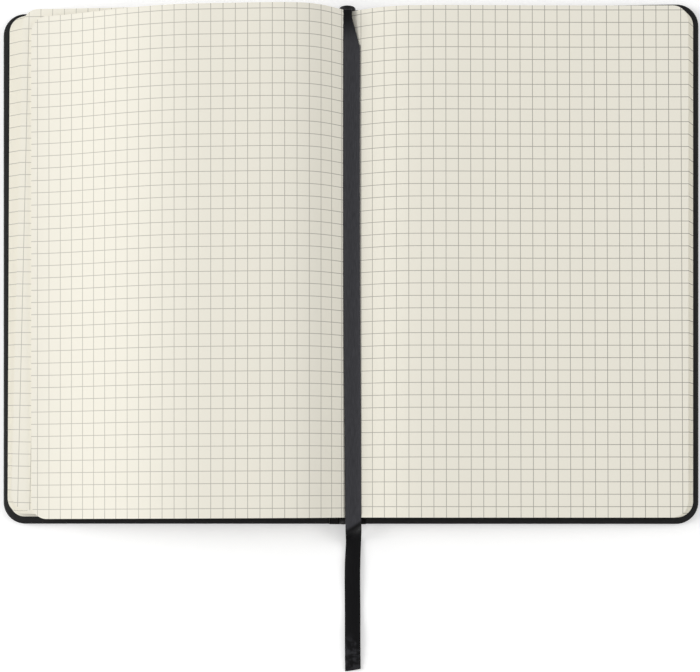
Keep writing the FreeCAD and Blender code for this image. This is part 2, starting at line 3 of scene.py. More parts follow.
import bmesh
import bpy
from bpy.props import FloatProperty, FloatVectorProperty, IntProperty, PointerProperty
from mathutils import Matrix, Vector


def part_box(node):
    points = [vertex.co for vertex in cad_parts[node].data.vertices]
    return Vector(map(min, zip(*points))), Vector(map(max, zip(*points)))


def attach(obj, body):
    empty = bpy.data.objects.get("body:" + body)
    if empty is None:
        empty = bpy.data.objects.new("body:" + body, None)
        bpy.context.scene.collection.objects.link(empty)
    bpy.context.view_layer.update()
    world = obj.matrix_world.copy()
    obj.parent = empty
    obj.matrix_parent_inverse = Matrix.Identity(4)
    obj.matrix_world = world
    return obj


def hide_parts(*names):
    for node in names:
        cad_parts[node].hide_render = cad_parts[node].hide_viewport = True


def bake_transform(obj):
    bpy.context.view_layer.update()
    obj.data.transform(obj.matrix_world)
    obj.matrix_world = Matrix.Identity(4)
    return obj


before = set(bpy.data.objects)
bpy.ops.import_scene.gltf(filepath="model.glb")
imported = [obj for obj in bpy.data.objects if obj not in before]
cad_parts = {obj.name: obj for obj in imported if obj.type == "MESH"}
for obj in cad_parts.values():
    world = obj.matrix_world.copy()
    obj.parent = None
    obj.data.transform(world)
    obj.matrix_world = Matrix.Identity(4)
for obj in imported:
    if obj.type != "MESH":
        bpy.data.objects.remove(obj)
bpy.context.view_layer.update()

bl_info = {
    "name": "Grid Notebook",
    "version": (1, 0, 0),
    "blender": (4, 5, 0),
    "location": "View3D > Sidebar > Notebook",
    "description": "An open hard-cover notebook with squared leaves and a marker ribbon",
    "category": "Object",
}

# Metres. +X runs across the open book to the back cover, +Y along the spine to the head, +Z up.
# Values that are written in millimetres become metres where they are used.
MM = 0.001
GLUE = 0.03 * MM  # between glued pieces
BLOCK, FRONT, BACK = "book_block", "front_cover", "back_cover"
SIDES = ((1, BACK), (-1, FRONT))
PAGES_LOW, PAGES_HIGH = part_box("pages")
COVER_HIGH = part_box("back_cover_wrap")[1]
LINING_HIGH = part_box("spine_lining")[1]


# ---------------- helpers


def length(name, description, millimetres):
    """A length that a user can change."""
    return FloatProperty(
        name=name, description=description, default=millimetres * MM, min=0, precision=5,
        subtype="DISTANCE", unit="LENGTH",
    )


def number(name, description, default, **options):
    """A number that a user can change."""
    return FloatProperty(name=name, description=description, default=default, min=0, **options)


def count(name, description, default, least=0):
    """A whole number that a user can change."""
    return IntProperty(name=name, description=description, default=default, min=least)


def colour(name, description, value):
    """A colour that a user can change."""
    return FloatVectorProperty(
        name=name, description=description, default=value, size=3, min=0, max=1, subtype="COLOR"
    )


def settings():
    return bpy.context.scene.notebook


def add_object(name, data):
    obj = bpy.data.objects.new(name, data)
    bpy.context.scene.collection.objects.link(obj)
    return obj


def add_curve(name, kind, steps, points):
    """A curve object of one spline, and the spline, which has room for so many points."""
    curve = bpy.data.curves.new(name, "CURVE")
    curve.dimensions = "3D"
    curve.resolution_u = steps
    spline = curve.splines.new(kind)
    (spline.bezier_points if kind == "BEZIER" else spline.points).add(points - 1)
    return add_object(name, curve), spline


class Value:
    """A node's output. Arithmetic on it adds Math nodes, or Vector Math nodes where it is a vector."""

    def __init__(self, wire, socket):
        self.wire, self.socket = wire, socket
        self.is_vector = socket.type == "VECTOR"
        self.join = wire.vector if self.is_vector else wire.math

    def __add__(self, other):
        return self.join("ADD", self, other)

    def __sub__(self, other):
        return self.join("SUBTRACT", self, other)

    def __rsub__(self, other):
        return self.join("SUBTRACT", other, self)

    def __mul__(self, other):
        if self.is_vector:
            return self.wire.scale(self, other)
        return self.join("MULTIPLY", self, other)

    def __truediv__(self, other):
        return self.join("DIVIDE", self, other)

    def __gt__(self, other):
        return self.join("GREATER_THAN", self, other)


class Wiring:
    """Adds nodes to a tree, of a material or world if it has an owner. An input is a plain value or a
    Value."""

    def __init__(self, tree, owner=None):
        self.tree, self.owner = tree, owner

    def add(self, kind, inputs=(), **options):
        node = self.tree.nodes.new(kind)
        for name, value in options.items():
            setattr(node, name, value)
        pairs = inputs.items() if isinstance(inputs, dict) else enumerate(inputs)
        for key, value in pairs:
            if isinstance(key, str):
                socket = next(item for item in node.inputs if item.name == key and item.enabled)
            else:
                socket = node.inputs[key]
            if isinstance(value, Value):
                self.tree.links.new(value.socket, socket)
            else:
                socket.default_value = value
        return node

    def out(self, kind, inputs=(), output=0, **options):
        """One output of a new node."""
        return Value(self, self.add(kind, inputs, **options).outputs[output])

    def outs(self, kind, inputs=(), **options):
        """All outputs of a new node, by name."""
        node = self.add(kind, inputs, **options)
        return {socket.name: Value(self, socket) for socket in node.outputs if socket.enabled}

    def math(self, operation, *values):
        return self.out("ShaderNodeMath", values, operation=operation)

    def vector(self, operation, *values):
        return self.out("ShaderNodeVectorMath", values, operation=operation)

    def scale(self, vector, factor):
        return self.out("ShaderNodeVectorMath", {"Vector": vector, "Scale": factor}, operation="SCALE")

    def combine(self, x=0.0, y=0.0, z=0.0):
        return self.out("ShaderNodeCombineXYZ", (x, y, z))

    def split(self, vector):
        return self.outs("ShaderNodeSeparateXYZ", (vector,)).values()

    def mix(self, factor, first, second, kind="FLOAT"):
        output = {"FLOAT": 0, "VECTOR": 1, "RGBA": 2}[kind]
        return self.out(
            "ShaderNodeMix", {"Factor": factor, "A": first, "B": second}, output, data_type=kind
        )

    def ramp(self, value, low, high, start=0.0, end=1.0, kind="SMOOTHSTEP"):
        """start below low, end above high, and a soft step between them."""
        return self.out(
            "ShaderNodeMapRange",
            {"Value": value, "From Min": low, "From Max": high, "To Min": start, "To Max": end},
            interpolation_type=kind,
        )

    def noise(self, vector, scale, detail=2.0, roughness=0.5, output=0):
        return self.out(
            "ShaderNodeTexNoise",
            {"Vector": vector, "Scale": scale, "Detail": detail, "Roughness": roughness}, output,
        )

    def wave(self, distance, period):
        return self.math("SINE", distance * (2 * math.pi) / period)

    def object_place(self):
        return self.out("ShaderNodeTexCoord", output="Object")

    def bump(self, height, strength, distance):
        return self.out("ShaderNodeBump", {"Height": height, "Strength": strength, "Distance": distance})

    def tinted(self, value, tone):
        """A colour made lighter or darker by a tone near 1."""
        return self.scale((*value,), tone)

    def capture(self, geometry, domain, kind, name, value):
        """The geometry with a value kept on it, and the kept value."""
        node = self.add("GeometryNodeCaptureAttribute", {"Geometry": geometry}, domain=domain)
        node.capture_items.new(kind, name)
        self.tree.links.new(value.socket, node.inputs[name])
        return Value(self, node.outputs["Geometry"]), Value(self, node.outputs[name])


def new_tree(name, kind, inputs, outputs):
    """A node group. Its sockets are given as names under each type. Returns its wiring and its inputs."""
    tree = bpy.data.node_groups.new(name, kind)
    for direction, sockets in (("INPUT", inputs), ("OUTPUT", outputs)):
        for socket, labels in sockets.items():
            for label in labels:
                tree.interface.new_socket(label, in_out=direction, socket_type=f"NodeSocket{socket}")
    wire = Wiring(tree)
    return wire, wire.outs("NodeGroupInput")


def close_tree(wire, values):
    """Leads values to the group's outputs, by name. Returns the group."""
    wire.add("NodeGroupOutput", values)
    return wire.tree


def run_tree(obj, tree, values):
    """Gives obj the tree's result as a plain mesh. values are the tree's inputs by name."""
    modifier = obj.modifiers.new(tree.name, "NODES")
    modifier.node_group = tree
    for item in tree.interface.items_tree:
        if item.in_out == "INPUT":
            modifier[item.identifier] = values[item.name]
    depsgraph = bpy.context.evaluated_depsgraph_get()
    mesh = bpy.data.meshes.new_from_object(
        obj.evaluated_get(depsgraph), preserve_all_data_layers=True, depsgraph=depsgraph
    )
    obj.modifiers.clear()
    old = obj.data
    obj.data = mesh
    mesh.name = obj.name
    # The result may start with an empty material slot.
    if mesh.materials[0] is None:
        mesh.materials.pop(index=0)
    bpy.data.meshes.remove(old)


def mesh_object(name, mesh, material):
    """An object from a bmesh, which it frees."""
    data = bpy.data.meshes.new(name)
    mesh.to_mesh(data)
    mesh.free()
    data.materials.append(material)
    return add_object(name, data)


def beside(items, k):
    """The items before and after the one at k, or that one itself at an end."""
    return items[max(k - 1, 0)], items[min(k + 1, len(items) - 1)]


def sheet_object(name, rows, thickness, uv_rows, material):
    """A closed sheet from a grid of points, grown by thickness along its normals to both sides.

    rows run one way and their points the other, so that row step x point step points out of the top.
    uv_rows holds the two measures, in millimetres, that the material reads at each point."""
    last, end = len(rows) - 1, len(rows[0]) - 1
    mesh = bmesh.new()
    layer = mesh.loops.layers.uv.new("lay")
    top, under = {}, {}
    for i, row in enumerate(rows):
        row_before, row_after = beside(rows, i)
        for j, point in enumerate(row):
            before, after = beside(row, j)
            normal = (row_after[j] - row_before[j]).cross(after - before).normalized()
            rise = normal * (thickness / 2)
            top[i, j], under[i, j] = mesh.verts.new(point + rise), mesh.verts.new(point - rise)
    faces = []
    for i in range(last):
        for j in range(end):
            cell = [(i, j), (i + 1, j), (i + 1, j + 1), (i, j + 1)]
            faces.append(([top[place] for place in cell], cell, True))
            faces.append(([under[place] for place in cell[::-1]], cell[::-1], True))
    rim = [(i, 0) for i in range(last + 1)] + [(last, j) for j in range(1, end + 1)]
    rim += [(i, end) for i in range(last - 1, -1, -1)] + [(0, j) for j in range(end - 1, 0, -1)]
    for a, b in zip(rim, rim[1:] + rim[:1]):
        faces.append(([top[a], under[a], under[b], top[b]], [a, a, b, b], False))
    for corners, cell, smooth in faces:
        face = mesh.faces.new(corners)
        face.smooth = smooth
        for loop, (i, j) in zip(face.loops, cell):
            loop[layer].uv = uv_rows[i][j]
    return mesh_object(name, mesh, material)


def turned(points, side):
    """The front half of the book is the back half turned half round about the spine's middle."""
    return [Vector((side * point.x, side * point.y, point.z)) for point in points]


def arc(centre, radius, start, end, steps):
    """Points of an arc in a plane, from start to end degrees."""
    return [
        (centre[0] + radius * math.cos(angle), centre[1] + radius * math.sin(angle))
        for angle in (math.radians(start + (end - start) * k / steps) for k in range(steps + 1))
    ]


# ---------------- sizes and colours


class LeafSizes(bpy.types.PropertyGroup):
    """Sizes of the leaves and of the squares on them."""

    width: length("Leaf width", "From a leaf's fold to its fore-edge", 137.4)
    corner: length("Corner radius", "Rounded corners of the leaves", 6.5)
    thickness: length("Leaf thickness", "One leaf without the air under it", 0.085)
    rim: length("Rim", "Narrow row of faces along a leaf's head and tail", 0.25)
    ragged: length("Ragged edge", "How unevenly the leaves lie at the fore-edge", 0.12)
    square: length("Squares", "Side of the printed squares", 5.0)
    side_margin: length("Side margin", "From the fore-edge to the first printed line", 2.65)
    tail_margin: length("Tail margin", "From the tail to the first printed line", 4.4)
    line: length("Line width", "Width of the printed lines", 0.26)
    soft: length("Line softness", "How far a printed line's edge runs out", 0.05)
    front_leaves: count("Front leaves", "Leaves on the front cover", 46, 3)
    lifted_leaves: count("Lifted leaves", "Front leaves that stand up in a crest", 12, 1)
    back_leaves: count("Back leaves", "Leaves on the back cover", 50, 3)
    lift: number("Loose leaf", "How far it rises, as a share of the way to its own line", 0.25, max=1)
    seed: count("Seed", "Changes how unevenly the leaves lie", 4)


class CoverSizes(bpy.types.PropertyGroup):
    """Sizes of the covers, the spine, the joints and the endpapers."""

    corner: length("Corner radius", "Rounded corners of a cover", 9.0)
    board_start: length("Board start", "From the middle of the spine to a board", 7.5)
    wrap: length("Leatherette", "Thickness of the leatherette", 0.4)
    edge_round: length("Edge rounding", "Where the leatherette goes round the board", 0.7)
    turn_in: length("Turn-in", "Leatherette folded over inside a cover", 13.0)
    border: length("Border", "Leatherette left bare round the endpaper", 3.0)
    endpaper: length("Endpaper", "Thickness of the endpaper", 0.15)
    card: length("Card", "Thickness of the card inside the spine", 0.35)
    spine_radius: length("Spine radius", "Middle of the leatherette in the spine's arch", 2.36)
    spine_turn_in: length("Spine turn-in", "Leatherette folded over the ends of the card", 2.6)
    joint_round: length("Joint rounding", "Where the spine turns into the joint", 0.8)
    joint_start: length("Joint start", "From the middle of the spine to the joint", 3.6)


class RibbonSizes(bpy.types.PropertyGroup):
    """Sizes of the marker ribbon."""

    width: length("Width", "Width of the ribbon", 7.0)
    thickness: length("Thickness", "Thickness of the ribbon", 0.26)
    sag: length("Sag", "How far its middle sinks into the gutter", 0.7)
    tilt: length("Tilt", "How much higher its front edge lies in the gutter", 0.2)
    fold: length("Fold", "Radius of the edge turned under at the head", 0.35)
    crumple: length("Crumple", "Height of the creases at the head", 0.2)
    crown: length("Crown", "How far its middle stands up past the tail", 0.5)
    ripple: length("Ripple", "Height of the ripples at the cut end", 0.14)


class Colours(bpy.types.PropertyGroup):
    """Colours of the notebook."""

    paper: colour("Paper", "Cream of the leaves", (0.84, 0.81, 0.71))
    ink: colour("Ink", "Printed squares", (0.25, 0.24, 0.215))
    endpaper: colour("Endpaper", "Cream of the endpapers", (0.82, 0.79, 0.69))
    leatherette: colour("Leatherette", "Black of the cover", (0.009, 0.009, 0.0095))
    ribbon: colour("Ribbon", "Black of the ribbon", (0.047, 0.047, 0.053))
    board: colour("Board", "Grey board", (0.42, 0.39, 0.34))
    lining: colour("Lining", "Gauze and paper on the spine", (0.75, 0.73, 0.66))


class StageSizes(bpy.types.PropertyGroup):
    """Floor, lamps and camera."""

    floor: length("Floor", "Side of the floor", 6000.0)
    lamp: length("Lamp size", "Across the key and the fill lamp", 1200.0)
    key: number("Key lamp", "Power of the key lamp", 23.6, unit="POWER")
    fill: number("Fill lamp", "Power of the fill lamp", 9.4, unit="POWER")
    sky: number("Sky", "Strength of the even light", 0.543)
    glow: number("Floor glow", "How much whiter the floor looks", 0.16)
    distance: length("Camera distance", "From the camera to the pages", 550.0)
    lens: number("Lens", "Focal length, in millimetres", 69.84)
    tilt: number(
        "Camera tilt", "Camera leaning to the back cover's side", math.radians(2.31),
        subtype="ANGLE", unit="ROTATION",
    )


class NotebookSettings(bpy.types.PropertyGroup):
    """All that a user would change."""

    leaves: PointerProperty(type=LeafSizes)
    covers: PointerProperty(type=CoverSizes)
    ribbon: PointerProperty(type=RibbonSizes)
    colours: PointerProperty(type=Colours)
    stage: PointerProperty(type=StageSizes)


# Runs of the ribbon, in millimetres from its end at the spine: where each form begins and is full, and
# where it fades and is gone.
IN_GUTTER = (3, 20, 205, 214)
CRUMPLED = (1, 4, 8, 14)
ASLANT = (196, 209, 216, 240)
# Runs over which the ribbon unfolds, brings out its turned edge, narrows and is past the tail.
UNFOLDED = (6, 18)
EDGE_OUT = (15, 18)
NARROWED = (140, 212)
PAST_TAIL = (211, 216)
# Runs that its colour follows, painted shade at the head and past the tail and rubbing at the end,
# and millimetres before its cut end that its shape follows.
PAINTED_SHADE_HEAD = (4.0, 18.0)
PAINTED_SHADE_TAIL = (211.5, 213.5)
RUBBED_END = (259.0, 266.0)
RIPPLED_END = (12, 8)
CUT_END = (6, 0)


# ---------------- materials


def fibre_group():
    """Mottling and a height for paper and board."""
    wire, entry = new_tree(
        "fibre", "ShaderNodeTree",
        {"Vector": ("Vector",), "Float": ("Mottle",)}, {"Float": ("Tone", "Height")},
    )
    stretched = wire.vector("MULTIPLY", entry["Vector"], (1.0, 0.35, 1.0))
    fibres = wire.noise(stretched, 2600.0, 4.0, 0.65)
    cloud = wire.noise(entry["Vector"], 55.0, 3.0)
    tone = (wire.mix(0.4, cloud, fibres) - 0.5) * entry["Mottle"] + 1.0
    return close_tree(wire, {"Tone": tone, "Height": fibres})


def grain_group():
    """Height and valleys of fine pebbled leatherette."""
    wire, entry = new_tree(
        "pebble_grain", "ShaderNodeTree",
        {"Vector": ("Vector",), "Float": ("Scale",)}, {"Float": ("Height", "Valley")},
    )
    bent = wire.noise(entry["Vector"], 900.0, 2.0, output="Color")
    place = entry["Vector"] + wire.vector("SUBTRACT", bent, (0.5,) * 3) * 0.0005
    cells = wire.out(
        "ShaderNodeTexVoronoi", {"Vector": place, "Scale": entry["Scale"], "Randomness": 0.9}, feature="F1"
    )
    fine = wire.noise(entry["Vector"], 9000.0, 2.0)
    height = fine * 0.15 - wire.math("POWER", cells, 2.0)
    return close_tree(wire, {"Height": height, "Valley": wire.ramp(cells, 0.35, 0.75)})


def weave_group():
    """A plain or ribbed weave. Its place is in millimetres, along and across the cloth."""
    wire, entry = new_tree(
        "weave", "ShaderNodeTree",
        {"Vector": ("Place",), "Float": ("Rib", "Thread")}, {"Float": ("Height", "Tone")},
    )
    along, across, _ = wire.split(entry["Place"])
    height = wire.wave(along, entry["Rib"]) * 0.6 + wire.wave(across, entry["Thread"]) * 0.4
    slub = wire.noise(wire.vector("MULTIPLY", entry["Place"], (0.25, 3.0, 1.0)), 1.0, 3.0)
    return close_tree(wire, {"Height": height, "Tone": wire.ramp(slub, 0.2, 0.8, 0.7, 1.3, "LINEAR")})


SHARED = {}


def shared(build):
    """The group or material that build makes, made once."""
    if build not in SHARED:
        SHARED[build] = build()
    return SHARED[build]


def place_group(wire, build, inputs):
    """The outputs of a shader group that is placed in a material with its own values."""
    return wire.outs("ShaderNodeGroup", inputs, node_tree=shared(build))


def cleared(owner):
    """The wiring of a new material or world, without its first nodes."""
    owner.use_nodes = True
    owner.node_tree.nodes.clear()
    return Wiring(owner.node_tree, owner)


def new_material(name):
    return cleared(bpy.data.materials.new(name))


def finish_surface(wire, base, roughness, specular, **inputs):
    """Adds the shader. More inputs are given by name, with _ for a space. Returns the material."""
    more = {name.replace("_", " "): value for name, value in inputs.items()}
    surface = wire.out("ShaderNodeBsdfPrincipled", {
        "Base Color": base, "Roughness": roughness, "Specular IOR Level": specular, **more,
    })
    wire.add("ShaderNodeOutputMaterial", {"Surface": surface})
    return wire.owner


def paper_material(name, value, mottle=0.035):
    """Uncoated cream paper, or grey board with more mottling."""
    wire = new_material(name)
    fibre = place_group(wire, fibre_group, {"Vector": wire.object_place(), "Mottle": mottle})
    relief = wire.bump(fibre["Height"], 0.25, 0.00003)
    return finish_surface(wire, wire.tinted(value, fibre["Tone"]), 0.72, 0.25, Normal=relief)


def squared_material():
    """Cream paper with fine squares. Its map holds millimetres from the fore-edge and from the tail."""
    sizes, colours = settings().leaves, settings().colours
    square, half_line, soft = (size / MM for size in (sizes.square, sizes.line / 2, sizes.soft))
    wire = new_material("squared_paper")
    place = wire.object_place()
    fibre = place_group(wire, fibre_group, {"Vector": place, "Mottle": 0.03})
    sheet = wire.out("ShaderNodeUVMap", uv_map="print")
    inward, upward, _ = wire.split(sheet)
    lines = []
    for measure, start in ((inward, sizes.side_margin / MM), (upward, sizes.tail_margin / MM)):
        cell = wire.math("FRACT", measure / square + (0.5 - start / square))
        away = wire.math("ABSOLUTE", cell - 0.5) * square
        lines.append(wire.ramp(away, half_line - soft, half_line + soft, 1.0, 0.0))
    # The ink is uneven and thin on the leaves' cut edges.
    uneven = wire.ramp(wire.noise(sheet, 3.0, 2.0), 0.2, 0.8, 0.8, 1.0, "LINEAR")
    across, _, _ = wire.split(place)
    # Painted highlight: the lines are printed fainter towards the front cover, where glare washes them
    # out.
    glare_fade = wire.ramp(across, -0.12, 0.12, 0.68, 1.0, "LINEAR")
    _, _, upright = wire.split(wire.out("ShaderNodeTexCoord", output="Normal"))
    broad = wire.ramp(wire.math("ABSOLUTE", upright), 0.3, 0.6, 0.3, 1.0)
    mask = wire.math("MAXIMUM", *lines) * (uneven * broad * glare_fade)
    printed = wire.mix(mask, wire.tinted(colours.paper, fibre["Tone"]), (*colours.ink, 1.0), "RGBA")
    relief = wire.bump(fibre["Height"], 0.2, 0.00003)
    return finish_surface(wire, printed, 0.74, 0.22, Normal=relief)


def leatherette_material():
    """Black leatherette with a fine pebbled grain."""
    wire = new_material("leatherette")
    place = wire.object_place()
    grain = place_group(wire, grain_group, {"Vector": place, "Scale": 1500.0})
    haze = wire.noise(place, 30.0, 3.0)
    tone = wire.ramp(haze, 0.3, 0.7, 0.9, 1.15) + grain["Valley"] * -0.25
    black = wire.tinted(settings().colours.leatherette, tone)
    roughness = wire.ramp(haze, 0.3, 0.7, 0.46, 0.56)
    relief = wire.bump(grain["Height"], 0.5, 0.00012)
    return finish_surface(wire, black, roughness, 0.22, Normal=relief)


def ribbon_material():
    """Black satin ribbon, ribbed across, with firm edges. Painted shade makes it darkest at the head,
    where it dips into the gutter and an edge is turned under, and darker past the tail, where it lies on
    the table and catches less light than on the pages. It is rubbed at its cut end."""
    half = settings().ribbon.width / MM / 2
    wire = new_material("ribbon_satin")
    place = wire.out("ShaderNodeUVMap", uv_map="lay")
    weave = place_group(wire, weave_group, {"Place": place, "Rib": 0.32, "Thread": 0.2})
    along, across, _ = wire.split(place)
    selvedge = wire.ramp(wire.math("ABSOLUTE", across), half - 0.7, half - 0.4)
    # Painted shade: darkest at the head, where the ribbon dips into the gutter, and darker past the tail.
    head_shade = wire.ramp(along, *PAINTED_SHADE_HEAD, 0.15, 1.0)
    tail_shade = wire.ramp(along, *PAINTED_SHADE_TAIL, 1.0, 0.1)
    crushed = wire.noise(wire.vector("MULTIPLY", place, (0.45, 0.3, 1.0)), 1.0, 2.0)
    rubbed = wire.ramp(along, *RUBBED_END) * wire.ramp(crushed, 0.4, 0.65, 0.0, 0.42)
    tone = weave["Tone"] * (head_shade * tail_shade + rubbed)
    black = wire.tinted(settings().colours.ribbon, tone)
    relief = wire.bump(weave["Height"], 0.25, 0.00005)
    return finish_surface(wire, black, selvedge * 0.12 + 0.42, 0.1, Normal=relief)


def lining_material():
    """Gauze glued over paper."""
    wire = new_material("gauze_lining")
    place = wire.object_place() * (1 / MM)
    weave = place_group(wire, weave_group, {"Place": place, "Rib": 1.2, "Thread": 1.2})
    pale = wire.tinted(settings().colours.lining, weave["Tone"])
    return finish_surface(wire, pale, 0.8, 0.5, Normal=wire.bump(weave["Height"], 0.4, 0.0001))


# ---------------- leaves

KINDS = ("Settled", "Loose", "Lifted")
MEASURES = {"Turn": 1.0, "Skew": 1.0, "Reach": MM, "Shift": MM}

# How each kind of leaf lies. First the line of its topmost leaf, from the gutter over the crest to the
# fore-edge: points (x, z), slopes in degrees at the gutter and the fore-edge, and the handles' lengths.
# Then how the leaves are turned and skewed, as slopes, how far they reach out of the stack, and how far
# their squares are shifted to the head. Lengths are in millimetres.
BACK_LAY = {
    "points": ((1.5, 6.73), (30.5, 13.1), (137.7, 8.28)),
    "slopes": (27.9, 2.0),
    "handles": (16.3, 3.0, 15.3, 74.7),
    "Turn": 0.0, "Skew": 0.0, "Reach": 0.0, "Shift": 0.0,
}
SETTLED_LAY = {
    "points": ((1.5, 6.6), (-42.0, 11.8), (-133.9, 6.55)),
    "slopes": (23.0, 2.0),
    "handles": (17.3, 9.0, 18.0, 52.0),
    "Turn": 0.0045, "Skew": 0.010, "Reach": 0.0, "Shift": -0.5,
}
LOOSE_LAY = {
    "points": ((1.5, 6.65), (-48.0, 15.0), (-129.7, 7.0)),
    "slopes": (32.0, 2.5),
    "handles": (18.0, 30.0, 30.0, 27.5),
    "Turn": 0.0245, "Skew": 0.0225, "Reach": 3.2, "Shift": 1.35,
}
LIFTED_LAY = {
    "points": ((1.5, 6.73), (-60.3, 19.3), (-129.7, 8.1)),
    "slopes": (39.5, 2.6),
    "handles": (20.5, 50.0, 28.3, 22.2),
    "Turn": 0.0, "Skew": -0.005, "Reach": 0.0, "Shift": 0.5,
}
BACK_SLANT = 0.0045  # the back leaves' squares lean to the fore-edge at the tail, as a slope

COLUMNS, ROWS = 41, 9  # points across and along a leaf
BODY_SHARE = 0.75  # of the columns, before those of the rounded corners
BODY_CROWDING = 1.5  # brings the columns closer together towards the fold
FOLD_SHARE = 0.07  # of a leaf, that its fold bends


def bezier_object(name, points, handles):
    obj, spline = add_curve(name, "BEZIER", 64, len(points))
    for item, point, (left, right) in zip(spline.bezier_points, points, handles):
        item.handle_left_type = item.handle_right_type = "FREE"
        item.co, item.handle_left, item.handle_right = point, left, right
    return obj


def guide_curve(name, lay):
    """The line of a kind's topmost leaf as a Bezier curve."""
    gutter, crest, edge = (Vector((x, 0, z)) * MM for x, z in lay["points"])
    across = Vector((math.copysign(1, crest.x), 0, 0))
    rise, fall = (math.radians(slope) for slope in lay["slopes"])
    uphill = across * math.cos(rise) + Vector((0, 0, math.sin(rise)))
    downhill = across * math.cos(fall) - Vector((0, 0, math.sin(fall)))
    after_gutter, before_crest, after_crest, before_edge = (handle * MM for handle in lay["handles"])
    return bezier_object(name, [gutter, crest, edge], [
        (gutter - uphill * after_gutter, gutter + uphill * after_gutter),
        (crest - across * before_crest, crest + across * after_crest),
        (edge - downhill * before_edge, edge + downhill * before_edge),
    ])


def flat_curve(name, side):
    """The lowest leaf's line: straight along the endpaper, from the arch of the folds."""
    start = Vector((side * LINING_HIGH.x, 0, PAGES_LOW.z))
    end = Vector((side * PAGES_HIGH.x, 0, PAGES_LOW.z))
    third = (end - start) / 3
    return bezier_object(name, [start, end], [(start - third, start + third), (end - third, end + third)])


